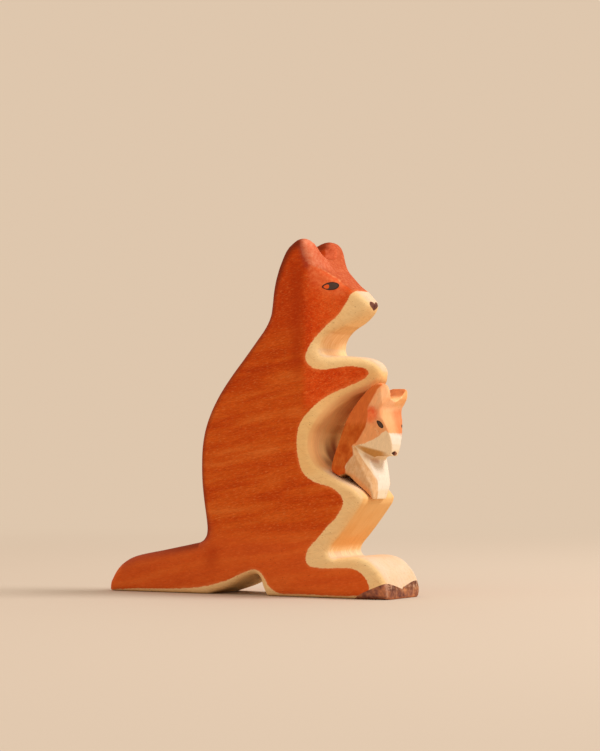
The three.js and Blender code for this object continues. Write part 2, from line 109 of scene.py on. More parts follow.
POUCH = [
    (33.3, 56.0), (31.9, 59.4), (31.6, 62.8), (32.3, 66.6), (34.1, 70.3), (36.5, 73.7), (39.1, 76.7),
    (42.2, 79.3), (45.7, 81.7), (49.6, 83.9), (53.6, 85.6), (56.7, 86.9), (58.1, 88.6), (58.4, 90.8),
]
POUCH_FILL = [0, 0, 0, 0.3, 0.9, 1.0, 1.0, 1.0, 1.1, 1.3, 1.1, 0.5, 0, 0]
EAR_AND_BROW = [
    (25.2, 147.0), (27.0, 142.0), (27.5, 140.8), (28.7, 137.3), (30.6, 134.6), (33.6, 133.3),
    (35.7, 131.9), (38.4, 130.0), (40.7, 128.4), (42.1, 126.9), (45.4, 124.4), (50.0, 121.5),
    (60.0, 121.5), (60.0, 147.0),
]
JOEY_EYE = [
    (59.5, 71.2), (60.3, 71.0), (61.0, 70.1), (61.3, 69.2), (61.2, 68.4), (60.6, 68.1), (59.8, 68.8),
    (59.4, 69.9), (59.3, 70.8),
]
JOEY_NOSE = [
    (-2.9, 58.1), (-2.1, 58.6), (-0.6, 58.9), (1.0, 58.5), (2.0, 57.9), (1.5, 57.4), (0.4, 57.1),
    (-1.4, 57.5),
]
UNDER_ARM = [(46, 50.5), (50, 48.6), (54, 45.0), (57.5, 41.2)]

# Lines that marks follow: how softly a mark fades from its line in mm, its greatest share, and the line's
# places in the side view or in space
MOTHER_LINES = {
    "tail_top": (3.2, 0.6, TAIL_TOP),
    "tail_root_shade": (3.2, 0.45, [(-15.5, 13.5), (-14.5, 17.5)]),
    "ear_edge": (
        1.3, 0.55, [(26.2, -15, 142.6), (27.6, -15, 140.8), (28.6, -14.9, 137.6), (29.9, -14.6, 134)],
    ),
    "ear_root": (4.2, 1, [(31.5, 132.5), (34.5, 129.8), (38.5, 127.4), (41.5, 125.8)]),
    "jaw": (0.7, 1, [(36.6, 107.4), (38.9, 106.9), (41.0, 107.8), (43.4, 109.2)]),
    "instep_sheen": (1.2, 1, [(39.8, 19.3), (39.6, 17.6), (40.4, 16.8)]),
    "toe_ridge_highlight": (0.42, 1, [(65.4, -13.6, 6.2), (66.2, -13.5, 1.0)]),
}
JOEY_LINES = {
    # Painted shadow on the chest below the chin
    "chin_shadow": (1.2, 0.55, [(53.7, -8.2, 57.0), (55.2, -6.0, 55.5), (55.2, -0.9, 54.9)]),
}

# Bands that marks fill: the greatest share, and for each measure where the mark starts and where it is full,
# then where it wanes and ends, if it does. Places are in mm, and out is the distance from the middle plane.
# Above chin and above tip are heights over those forms of the joey, and past jaw is the place along
# JAW_PLANE. Near, down, lit, turned and into bowl say how much a place faces that way, at most 1.
MOTHER_BANDS = {
    "back": (1, {"x": (29.5, 25.5), "z": (14, 20)}),
    "head": (1, {"z": (118, 132)}),
    "rounded": (1, {"turned": (0.6, 0.95)}),
    "tail_top": (1, {"x": (-66, -57), "z": (34, 25)}),
    "chest": (0.5, {"z": (84, 96, 130, 138)}),
    "calm": (1, {"z": (96, 118)}),
    "low": (1, {"z": (32, 18)}),
    "ear_root": (1, {"x": (29.6, 31.6), "out": (6, 8)}),
    "near_ear_highlight": (1, {"y": (-3, -6), "z": (131, 134.5)}),
    "ear_side": (1, {"out": (10.5, 13.8)}),
    # The far ear's inner face, painted paler for light on it
    "ear_bowl_light": (1, {"y": (1.5, 3.5), "z": (135, 138), "near": (0.3, 0.6)}),
    "ridge_highlight": (1, {"x": (33, 36, 41, 43.5), "out": (4, 6)}),
    "hollow": (1, {"x": (29, 30.5, 54, 60), "z": (50, 54, 87, 90)}),
    "far_shadow": (1, {"y": (-2.5, 4.5), "z": (70, 60)}),
    "far_end": (0.4, {"y": (5, 9)}),
    "middle_shadow": (0.9, {"y": (-5, -0.5), "z": (67, 58)}),
    "near_shadow": (0.55, {"y": (-10, -5), "z": (58.5, 54.5)}),
    # Painted shade under the ceiling of the hollow
    "ceiling_shade": (0.3, {"z": (72, 75.5)}),
    "ceiling_top_shade": (0.6, {"z": (77, 83)}),
    "warm": (0.85, {"x": (38, 42), "z": (16.5, 19.5, 41, 45), "turned": (0.35, 0.75)}),
    # Low and high parts where the bare wood is painted paler, for sheen
    "low_sheen_tint": (1, {"z": (54, 44)}),
    "high_sheen_tint": (1, {"z": (90, 95)}),
    "throat": (1, {"x": (33, 35, 37, 42), "z": (96.8, 98.5, 106.5, 108), "turned": (0.4, 0.8)}),
    "jaw": (1, {"turned": (0.1, 0.4)}),
    "instep_sheen": (1, {"turned": (0.4, 0.8)}),
    "toe_edge": (1, {"z": (1.3, 0.3)}),
    # How much a place faces the lamp, which picks the painted lit colours
    "bright": (1, {"lit": (0.45, 0.85)}),
}
JOEY_BANDS = {
    "arm_end": (6, {"x": (56, 57)}),
    "far_ear": (1, {"y": (0, 2), "z": (76, 78.5)}),
    "far_bowl_shade": (0.9, {"z": (80, 81.8), "into_bowl": (0.8, 0.95)}),
    "tips": (0.8, {"x": (58, 60), "above_tip": (-1.4, 1.0)}),
    "seat": (1, {"z": (54, 49)}),
    "seat_underside_shade": (1, {"x": (50, 48.5), "z": (51.8, 50.8), "down": (0.1, 0.5)}),
    "jaw": (1, {"x": (50, 51, 58.5, 62), "above_chin": (-0.2, 0.4), "past_jaw": (-4.42, -4.16)}),
    "high": (1, {"z": (68.5, 71.5)}),
    # How much a place faces the lamp, which picks the cream painted paler there
    "bright": (1, {"lit": (0.4, 0.75)}),
}

# Dark edge of the back, on the body and on the head, partly darker stain and partly painted shade where the
# rounding turns from the light: its full width, its end and its share, then what is left of it on the flat
# side and where the surface has turned away from that side
RIM_FULL = (1.2, 1.7)
RIM_END = (3.8, 4.4)
RIM_SHARE = (0.6, 0.88)
RIM_LEFT = (1, 0.3)
# The painted shade down the mother's chest, the painted highlight on the front of its near ear, the darkest
# painted shadow in its hollow, where its head and forearms are pared, and how deep the hollow's wall is from
# its near edge, for the painted shade on that wall
CHEST_SHADE_X = 25.5
CHEST_SHADE_REACH = 3.2
NEAR_EAR_HIGHLIGHT_SHARE = (0.28, 0.76)
HOLLOW_SHADOW = 0.98
PARED_X = 28.6
PARED_Z = 76
PARED_SLOPE = 0.5
NEAR_WALL_Y = -12.5
WALL_DEPTH = 17.5

# Where painted marks may lie, in mm, but for the turn and slope of the joey's back. OFF is far outside a
# mark, and HIDDEN leaves a trace of it at most.
OFF = -5
HIDDEN = 4
EYE_OUT = 5
NOSE_X = 48
JOEY_NOSE_X = 60
JOEY_NEAR_EYE_Y = -4
JOEY_FAR_EYE_Y = 5.8
JOEY_FAR_EYE_SHIFT = (1.1, -0.5)
JOEY_ARM_OUT = 5.2
JOEY_FACE_OUT = 7
JOEY_FOREHEAD_X = 58
JOEY_COAT_OUT = 10.2
JOEY_BACK_TURN = 0.3
JOEY_BACK_SLOPE = 6
JOEY_CREAM_Z = 60.5
JOEY_UNDER_ARM = 1.0
JOEY_TIP_Z = (85.2, 83.4)
JOEY_SEAT_COAT = 0.3

# How finely each piece is remade, in mm, and how often its surface is evened
MOTHER_CELL = 0.62
JOEY_CELL = 0.3
SANDING_PASSES = 4
BULGE_PASSES = 4
# The wall of the mother's hollow is filled out in full up to the first distance in mm, not past the second,
# and by more on the far side
POUCH_REACH = (2.5, 9)
FAR_FILL = 1.1
FAR_FILL_Y = (-6, 3)
# Flat cuts in the joey, each a direction and how far the wood may reach along it in mm, with its bands.
# The first two are made on both sides. The corner of the far ear is cut to a depth under its farthest place.
TEMPLE_CUT = ((0.45, 0.88, -0.195), 20.95, {"own": (0, 2), "z": (72, 75)})
JAW_CUT = ((0.40, 0.763, -0.548), -4.12, {"own": (0, 2), "above_chin": (0, 0.6)})
NEAR_EAR_CUT = ((0.86, -0.46, -0.1), 50.8, {"y": (-2, -4), "z": (75, 77.5)})
FAR_EAR_CORNER = (0.606, 0.364, 0.707)
FAR_EAR_CUT_DEPTH = 0.7
FAR_EAR_BANDS = {"y": (0, 2)}
FAR_EAR_Y = 2
FAR_EAR_Z = 78
# How the joey's jaw and the bowl of its far ear face
JAW_PLANE = (0.392, 0.748, -0.537)
INTO_BOWL = (0.24, -0.57, 0.78)
# Where the joey is rounded: far ear, near ear, lower body and forehead, over a little everywhere
JOEY_ROUNDING = (
    (1, {"y": (0, 2), "z": (80.5, 82.5)}),
    (0.3, {"near_side": (0, 1), "z": (83, 85)}),
    (0.14, {"z": (57, 52)}),
    (1, {"x": (58.5, 60), "z": (71.5, 73, 76, 78)}),
)
JOEY_ROUNDING_LEAST = 0.06
JOEY_ROUNDING_PULL = 0.5
JOEY_ROUNDING_PASSES = 36

# Colours as red, green and blue from 0 to 255. In a ramp each has the value of the noise where it shows.
MOTHER_COLOURS = {
    "flat": ((0.30, (186, 61, 6)), (0.45, (200, 75, 12)), (0.57, (209, 88, 20)), (0.72, (219, 106, 38))),
    "calm": ((0.34, (188, 58, 4)), (0.66, (203, 72, 14))),
    "pared": ((0.36, (200, 58, 8)), (0.5, (214, 74, 16)), (0.64, (226, 94, 34))),
    "low": ((206, 78, 20), (238, 116, 52)),
    "ear_root": ((0.36, (228, 98, 50)), (0.64, (246, 128, 78))),
    "ears": ((0.34, (173, 68, 34)), (0.5, (185, 85, 47)), (0.66, (205, 109, 69))),
    "near_ear_highlight": ((0.36, (242, 126, 86)), (0.64, (252, 160, 122))),
    "ear_bowl_light": ((0.4, (204, 88, 50)), (0.6, (228, 112, 72))),
    "shade": (170, 48, 4),
    "purple": (150, 56, 44),
    "rim": (120, 40, 12),
    "ridge_highlight": (246, 146, 90),
    # Bare wood painted for faces turned from the lamp and towards it, each with a paler tint for sheen
    "side_wood": ((247, 200, 134), (246, 206, 147)),
    "lit_wood": ((224, 190, 152), (224, 192, 160)),
    # Painted shade on the hollow's wall, from its near edge to its far side
    "shaded_wall": (
        (0.0, (238, 178, 114)), (0.2, (247, 190, 124)), (0.35, (254, 206, 136)), (0.5, (253, 202, 129)),
        (0.68, (240, 186, 114)), (0.85, (224, 160, 88)), (1.0, (219, 154, 84)),
    ),
    "ceiling_shade": (172, 94, 42),
    "hollow_shadow": (112, 46, 12),
    "hollow_rim_shade": (237, 179, 117),
    "shin": ((231, 168, 96), (241, 181, 110)),
    "throat": ((0.36, (237, 184, 124)), (0.5, (243, 196, 141)), (0.66, (249, 208, 156))),
    "jaw": (206, 142, 78),
    "instep_sheen": (255, 220, 168),
    "coat_edge": (232, 120, 60),
    "toe": ((0.36, (104, 62, 52)), (0.47, (134, 83, 63)), (0.58, (158, 98, 66)), (0.7, (192, 128, 86))),
    "toe_sheen": (172, 130, 104),
    "toe_edge": (170, 96, 52),
    "toe_ridge_highlight": (214, 166, 138),
    "eye": ((46, 34, 32), (84, 66, 58)),
    "eye_corner": (236, 96, 40),
    "nose": ((0.35, (84, 48, 40)), (0.65, (126, 78, 62))),
}
JOEY_COLOURS = {
    "cream": ((240, 209, 168), (234, 215, 192)),
    "peach": ((235, 158, 101), (247, 182, 130)),
    "coat": ((0.36, (182, 76, 20)), (0.5, (196, 91, 30)), (0.64, (213, 111, 45))),
    "high_coat": (226, 118, 58),
    "seat_coat": (208, 80, 20),
    "arm": ((0.34, (213, 159, 107)), (0.5, (220, 171, 121)), (0.68, (228, 183, 138))),
    "under_arm": (226, 150, 90),
    "jaw": (198, 141, 77),
    "chin_shadow": (176, 108, 52),
    "cheek": (226, 124, 70),
    "temple": ((232, 84, 34), (238, 116, 62)),
    "forehead": ((238, 168, 113), (216, 122, 72)),
    "far_ear": ((0.4, (240, 168, 106)), (0.6, (250, 192, 132))),
    "far_bowl_shade": ((0.4, (184, 92, 46)), (0.6, (200, 108, 58))),
    "tips": (238, 124, 70),
    "seat_underside_shade": (176, 120, 70),
    "ridge_wear_and_highlight": (254, 216, 168),
    "eye": ((40, 30, 26), (84, 66, 54)),
    "nose": ((74, 42, 30), (150, 92, 66)),
}

# Spaces that the noises lie in: the grain's rise in degrees, how far it bends in m, and its bends in each m.
# It bends less through the plank.
BEND_THROUGH = 0.2
MOTHER_SPACES = {
    "grain": (9, 0.0022, 20), "wavy": (9, 0.0016, 260), "level": (0, 0, 0), "slanted": (-38, 0, 0),
}
JOEY_SPACES = {"grain": (76, 0.003, 40)}
# Noises: the space, the cells in each mm along, through and across the grain, detail, roughness and scale
MOTHER_NOISES = {
    "streaks": ("grain", (0.03, 0.25, 0.24), 4, 0.6, 1),
    "strokes": ("grain", (0.22, 1.0, 1.25), 3, 0.65, 1),
    "fibres": ("grain", (0.5, 3.0, 3.4), 2, 0.6, 1),
    "lines": ("grain", (0.04, 0.8, 0.5), 2, 0.5, 1),
    "mottle": ("grain", (0.5, 0.7, 0.7), 4, 0.65, 1),
    "cloud": ("grain", (0.06, 0.08, 0.09), 2, 0.5, 1),
    "flecks": ("wavy", (0.55, 2.2, 2.9), 2, 0.6, 1),
    "pores": ("grain", (0.9, 1.8, 1.8), 1, 0.5, 1.3),
    "hairs": ("grain", (0.12, 1.5, 1.5), 2, 0.6, 1),
    "hatch": ("slanted", (0.12, 0.5, 1.5), 3, 0.6, 1),
    "layers": ("level", (0.10, 1.1, 0.09), 3, 0.6, 1),
    "strips": ("level", (0.12, 1.3, 0.12), 3, 0.6, 1),
    "wander": ("grain", (0.3, 0.3, 0.3), 2, 0.5, 1),
    "blur": ("grain", (0.7, 1.3, 1.9), 3, 0.6, 1),
    "toe_cloud": ("grain", (0.26, 0.26, 0.26), 3, 0.6, 1),
}
JOEY_NOISES = {
    "fibres": ("grain", (0.4, 3.0, 3.0), 2, 0.6, 1),
    "lines": ("grain", (0.12, 1.0, 1.0), 2, 0.5, 1),
    "mottle": ("grain", (0.5, 0.7, 0.7), 4, 0.65, 1),
    "patchy": ("grain", (0.25, 0.3, 0.3), 2, 0.5, 1),
    "pores": ("grain", (0.9, 1.9, 1.9), 1, 0.5, 1.2),
}

# Spans, which are shares or other values by name: what a span is drawn from, a noise that makes it ragged
# and by how much, the value where it starts and the one where it is full, and what the span is at each
MOTHER_SPANS = {
    "pared_part": ("pared", "mottle", 2.4, -1.6, 2.4, 0, 1),
    "brow_part": ("brow", "mottle", 1.2, -0.5, 0.5, 0, 0.85),
    "ridge_highlight_broken": ("mottle", None, 0, 0.4, 0.6, 0.1, 0.6),
    "coat_part": ("coat", "blur", 1, -0.2, 0.26, 0, 1),
    "coat_border": ("coat", "blur", 1, 0.1, 1.5, 1, 0),
    "coat_thin": ("cloud", None, 0, 0.4, 0.62, 0, 0.6),
    "coat_smoother": ("coat", "blur", 1, -0.4, 0.6, 0, 0.3),
    "bare_roughness": ("cloud", None, 0, 0.3, 0.7, 0.8, 0.9),
    "ceiling_shade_depth": ("deep", None, 0, 0.2, 0.6, 0, 1),
    "hollow_rim_shade_part": ("turned", "mottle", 0.12, 0.05, 0.24, 0, 1),
    "hollow_wall_part": ("turned", "mottle", 0.12, 0.42, 0.62, 0, 1),
    "shin_layers": ("layers", None, 0, 0.3, 0.7, 0, 1),
    "jaw_broken": ("mottle", None, 0, 0.3, 0.7, 0.2, 0.5),
    "instep_sheen_broken": ("strips", None, 0, 0.5, 0.6, 0.15, 0.85),
    "toe_part": ("toes", "blur", 0.4, -0.12, 0.12, 0, 1),
    "toe_light": ("mottle", None, 0, 0.5, 0.62, 0, 1),
    "toe_edge_part": ("toe_edge", "mottle", 2, 0.4, 1, 0, 0.6),
    "toe_ridge_highlight_broken": ("strokes", None, 0, 0.35, 0.6, 0.3, 0.9),
    "eye_part": ("eye", None, 0, -0.12, 0.12, 0, 1),
    "eye_middle": ("eye", None, 0, 0.15, 0.5, 0, 1),
    "eye_corner_part": ("eye_corner", None, 0, -0.1, 0.12, 0, 1),
    "nose_part": ("nose", None, 0, -0.12, 0.12, 0, 1),
}
JOEY_SPANS = {
    "under_part": ("under", "mottle", 1.6, -0.6, 1.4, 0, 0.8),
    "peach_part": ("peach", "mottle", 0.8, -0.25, 0.25, 0, 1),
    "arm_part": ("arm", "mottle", 0.24, -0.2, 0.2, 0, 1),
    "cheek_part": ("cheek", "mottle", 1.6, -1.4, 1.2, 0, 0.45),
    "temple_part": ("temple", "mottle", 2.56, -1.2, 1, 0, 0.85),
    "temple_patches": ("patchy", None, 0, 0.46, 0.64, 0, 1),
    "brow_part": ("brow", "mottle", 1.6, -1.4, 1.2, 0, 0.8),
    "far_forehead": ("sideways", "mottle", 4.16, -2, 4, 0, 1),
    "coat_part": ("side", "mottle", 0.72, -0.3, 0.3, 0, 1),
    "ridge_wear_and_highlight_part": ("bulge", "mottle", 0.048, 0.05, 0.14, 0, 0.4),
    "eye_part": ("eye", None, 0, -0.1, 0.1, 0, 1),
    "eye_middle": ("eye", None, 0, 0.15, 0.4, 0, 1),
    "nose_part": ("nose", None, 0, -0.1, 0.1, 0, 1),
    "nose_far": ("sideways", None, 0, -0.4, 0.4, 0, 1),
    "roughness": ("mottle", None, 0, 0.3, 0.7, 0.66, 0.76),
}
# The painted highlight line between brow and side in mm, other shares, the toes' painted brightness where
# they face away from the lamp and where they face it, how deep the bumps are in mm, and the gloss of the
# wood
RIDGE_RAGGED = 1.2
RIDGE_WIDTH = (0.05, 0.34)
LOW_SHARE = 0.5
EAR_ROOT_SHARE = 0.8
PARED_MOTTLE_SHARE = 0.5
EARS_MOTTLE_SHARE = 0.6
JOEY_MOTTLE_SHARE = 0.5
TOE_SHADE_BRIGHTNESS = 1.38
TOE_LIT_BRIGHTNESS = 0.72
JOEY_HIGH_SHARE = 0.6
JOEY_SEAT_SHARE = 0.7
MOTHER_RELIEF = 0.035
JOEY_RELIEF = 0.03
SHEEN = 0.05

# Workings of a colour, one after another: a noise and two of its values, then the brightness at each, or
# the share and colour of specks that start at the first value and are full at the second
STAIN_WORK = (
    ("strokes", 0.3, 0.72, 0.93, 1.08), ("fibres", 0.25, 0.75, 0.89, 1.1),
    ("strokes", 0.58, 0.74, 0.2, (226, 120, 58)), ("flecks", 0.54, 0.70, 0.5, (232, 130, 66)),
    ("flecks", 0.44, 0.30, 0.22, (150, 48, 4)),
)
STAIN_PORES = (("pores", 0.70, 0.76, 0.5, (130, 40, 12)),)
BARE_WORK = (
    ("lines", 0.3, 0.7, 0.96, 1.03), ("cloud", 0.35, 0.65, 0.18, (238, 168, 92)),
    ("fibres", 0.25, 0.75, 0.955, 1.035), ("hatch", 0.54, 0.68, 0.16, (206, 138, 72)),
    ("hairs", 0.62, 0.72, 0.16, (190, 120, 60)), ("pores", 0.69, 0.76, 0.55, (140, 86, 40)),
)
WALL_WORK = (("layers", 0.34, 0.66, 0.95, 1.05), ("pores", 0.68, 0.76, 0.3, (100, 56, 26)))
SHIN_WORK = (("cloud", 0.4, 0.6, 0.4, (244, 196, 134)),)
TOE_WORK = (("mottle", 0.3, 0.7, 0.82, 1.14),)
PEACH_WORK = (("patchy", 0.4, 0.66, 0.5, (250, 170, 110)), ("mottle", 0.56, 0.7, 0.35, (252, 206, 156)))
JOEY_WORK = (
    ("fibres", 0.25, 0.75, 0.945, 1.045), ("lines", 0.3, 0.7, 0.97, 1.03),
    ("pores", 0.69, 0.76, 0.4, (150, 84, 44)),
)

# Stage, light and camera, in metres, degrees and watts. LIGHT points to where most of the light comes from.
BACKDROP = (0.735, 0.570, 0.418, 1)
FLOOR_COLOUR = (0.604, 0.473, 0.359, 1)
FLOOR_SIZE = 12
FLOOR_ROUGHNESS = 0.95
FLOOR_SHEEN = 0.1
FLOOR_FADE = (0.25, 0.9)
AROUND_COLOUR = (1, 0.93, 0.84, 1)
AROUND_STRENGTH = 0.82
KEY_PLACE = (1.329, 0.484, 1.474)
KEY_AIM = (0, 0, 0.06)
KEY_SIZE = 0.8
KEY_WATTS = 32
KEY_COLOUR = (0.9, 0.95, 1)
LIGHT = (0.664, 0.242, 0.707)
CAMERA_PLACE = (0.51424, -0.85717, 0.0594)
CAMERA_TURN = 31
SENSOR_MM = 36
PICTURE_HEIGHT_PIXELS = 751
FOCAL_PIXELS = 2407
AIM_UP_PIXELS = 74.5
AIM_RIGHT_PIXELS = 40

FAR_AWAY = 1e9
TINY = 1e-12


# Geometry

def softened(node, cell_mm):
    """A finer copy of a CAD piece, with its sawn and carved edges sanded round."""
    rough = bpy.data.objects.new(node + "_rough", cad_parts[node].data.copy())
    bpy.context.scene.collection.objects.link(rough)
    remesh = rough.modifiers.new("Remesh", "REMESH")
    remesh.mode = "VOXEL"
    remesh.voxel_size = cell_mm * MM
    remesh.adaptivity = 0.0
    smooth = rough.modifiers.new("Smooth", "SMOOTH")
    smooth.factor = 0.5
    smooth.iterations = SANDING_PASSES
    bpy.context.view_layer.update()
    mesh = bpy.data.meshes.new_from_object(rough.evaluated_get(bpy.context.evaluated_depsgraph_get()))
    bpy.data.objects.remove(rough)
    return mesh


def vectors_of(mesh, kind):
    """The mesh's places in m (co) or the way it faces there (normal), a row for each vertex."""
    rows = np.zeros(len(mesh.vertices) * 3, np.float32)
    mesh.vertices.foreach_get(kind, rows)
    return rows.reshape(-1, 3).astype(float)


def put_back(mesh, places):
    """Move the mesh's vertices to places in mm."""
    mesh.vertices.foreach_set("co", (places * MM).astype(np.float32).ravel())
    mesh.update()


def keep(mesh, values):
    """Store a value at each vertex under a name that the materials read."""
    for name, value in values.items():
        attribute = mesh.attributes.new(name, "FLOAT", "POINT")
        attribute.data.foreach_set("value", np.asarray(value, np.float32))


def relaxed(mesh, places, passes, share=1.0):
    """Places drawn towards the mean of their neighbours, as sanding does."""
    ends = np.zeros(len(mesh.edges) * 2, np.int64)
    mesh.edges.foreach_get("vertices", ends)
    a, b = ends.reshape(-1, 2).T
    both = np.r_[a, b]
    count = np.bincount(both, minlength=len(places))[:, None]
    for _ in range(passes):
        total = np.zeros_like(places)
        for axis in range(3):
            others = np.r_[places[b, axis], places[a, axis]]
            total[:, axis] = np.bincount(both, others, minlength=len(places))
        places = places + (total / np.maximum(count, 1) - places) * share
    return places


def bulge(mesh):
    """How far each place stands out from its surroundings, in mm: over 0 on ridges, under 0 in creases."""
    places = vectors_of(mesh, "co") / MM
    return ((places - relaxed(mesh, places, BULGE_PASSES)) * vectors_of(mesh, "normal")).sum(1)


def outline_gap(places, cell=0.8, least=0.01):
    """About how many mm each place lies inside the back and top outline of the side view."""
    x, z = places[:, 0], places[:, 2]
    column = np.floor(x / cell).astype(int)
    row = np.floor(z / cell).astype(int)
    top = np.full(column.max() - column.min() + 1, -FAR_AWAY)
    np.maximum.at(top, column - column.min(), z)
    edge = np.full(row.max() - row.min() + 1, FAR_AWAY)
    np.minimum.at(edge, row - row.min(), x)
    up = np.interp(x, (np.arange(len(top)) + column.min() + 0.5) * cell, top) - z
    behind = x - np.interp(z, (np.arange(len(edge)) + row.min() + 0.5) * cell, edge)
    up, behind = np.maximum(up, least), np.maximum(behind, least)
    return up * behind / np.hypot(up, behind)


def curve(points, closed=True, steps=6):
    """Dense points of a smooth curve through a few places."""
    p = np.array(points, float)
    n = len(p)
    dense = []
    for i in range(n if closed else n - 1):
        if closed:
            a, b, c, d = p[(i - 1) % n], p[i], p[(i + 1) % n], p[(i + 2) % n]
        else:
            a, b, c, d = p[max(i - 1, 0)], p[i], p[i + 1], p[min(i + 2, n - 1)]
        for t in np.arange(steps) / steps:
            bend = t * (2 * a - 5 * b + 4 * c - d + t * (3 * b - a - 3 * c + d))
            dense.append(b + 0.5 * t * (c - a + bend))
    return np.array(dense if closed else dense + [p[-1]])


def from_stretch(places, a, b):
    """Square of each place's distance to a straight stretch, and how far along the stretch it is nearest."""
    d = b - a
    t = np.clip(((places - a) @ d) / max(d @ d, TINY), 0, 1)
    return ((places - a - t[:, None] * d) ** 2).sum(1), t


def inside(places, polygon):
    """Distance in mm of each place to the edge of a closed polygon, positive inside."""
    polygon = np.array(polygon, float)
    nearest = np.full(len(places), FAR_AWAY)
    crossings = np.zeros(len(places), int)
    for a, b in zip(polygon, np.roll(polygon, -1, 0)):
        nearest = np.minimum(nearest, from_stretch(places, a, b)[0])
        if a[1] != b[1]:
            level = (a[1] > places[:, 1]) != (b[1] > places[:, 1])
            slope = (b[0] - a[0]) / (b[1] - a[1])
            crossings += level & (places[:, 0] < a[0] + (places[:, 1] - a[1]) * slope)
    return np.where(crossings % 2 == 1, 1, -1) * np.sqrt(nearest)


def along_line(place, reach, share, line):
    """A share on a line that fades softly away from it."""
    line = np.array(line, float)
    places = place if line.shape[1] == 3 else place[:, [0, 2]]
    nearest = np.full(len(places), FAR_AWAY)
    for a, b in zip(line, line[1:]):
        nearest = np.minimum(nearest, from_stretch(places, a, b)[0])
    return np.exp(-nearest / reach ** 2) * share


def step(value, start, full):
    """Softly from 0 where a value starts to 1 where it is full, in either direction."""
    t = np.clip((value - start) / (full - start), 0, 1)
    return t * t * (3 - 2 * t)


def fades(at, share, bands):
    """A share at the places that lie in every band. A band may end again, where its other two values say."""
    for measure, ends in bands.items():
        share = share * step(at[measure], *ends[:2])
        if ends[2:]:
            share = share * (1 - step(at[measure], *ends[2:]))
    return share


def between(pair, share):
    return pair[0] + (pair[1] - pair[0]) * share


def level(value, points):
    """Height of a line of places over or under a value."""
    return np.interp(value, *zip(*points))


def measures(place, facing=None, hand=1):
    """What the bands look at. A hand of 1 or -1 makes the left or the right side the own one."""
    x, y, z = place.T
    at = {"x": x, "y": y, "z": z, "out": abs(y), "own": y * hand, "near_side": (y < 0) * 1.0}
    at["above_chin"] = z - level(x, JOEY_CHIN)
    at["above_tip"] = z - np.where(y < 0, *JOEY_TIP_Z)
    at["past_jaw"] = np.stack([x, abs(y), z], 1) @ JAW_PLANE
    if facing is not None:
        at["turned"] = 1 - abs(facing[:, 1])
        at["near"], at["down"] = -facing[:, 1], -facing[:, 2]
        at["lit"], at["into_bowl"] = facing @ LIGHT, facing @ INTO_BOWL
    return at


def knife(places, normal, reach, share):
    """Pare away what stands out past a flat cut."""
    normal = np.array(normal) / np.linalg.norm(normal)
    over = np.maximum(places @ normal - reach, 0) * share
    return places - over[:, None] * normal


def thickened(places, line, amounts, steps=4):
    """Move a wall that follows a line in the side view by so many mm, fading out away from it."""
    path = curve(line, False, steps)
    amounts = np.interp(np.arange(len(path)) / steps, np.arange(len(line)), amounts)
    along = np.gradient(path, axis=0)
    across = np.stack([along[:, 1], -along[:, 0]], 1) / np.linalg.norm(along, axis=1)[:, None]
    spot = places[:, [0, 2]]
    nearest = np.full(len(spot), FAR_AWAY)
    station = np.zeros(len(spot))
    for i, (a, b) in enumerate(zip(path, path[1:])):
        distance, t = from_stretch(spot, a, b)
        closer = distance < nearest
        nearest[closer] = distance[closer]
        station[closer] = i + t[closer]
    index = np.arange(len(path))
    push = np.stack([np.interp(station, index, across[:, 0]), np.interp(station, index, across[:, 1])], 1)
    move = np.interp(station, index, amounts) * (1 - step(np.sqrt(nearest), *POUCH_REACH))
    move *= 1 + FAR_FILL * step(places[:, 1], *FAR_FILL_Y)
    moved = places.copy()
    moved[:, [0, 2]] += push * move[:, None]
    return moved


# Materials

def rgb(*screen):
    """The linear colour of a screen colour."""
    return tuple(((c / 255 + 0.055) / 1.055) ** 2.4 if c > 10 else c / 255 / 12.92 for c in screen) + (1,)


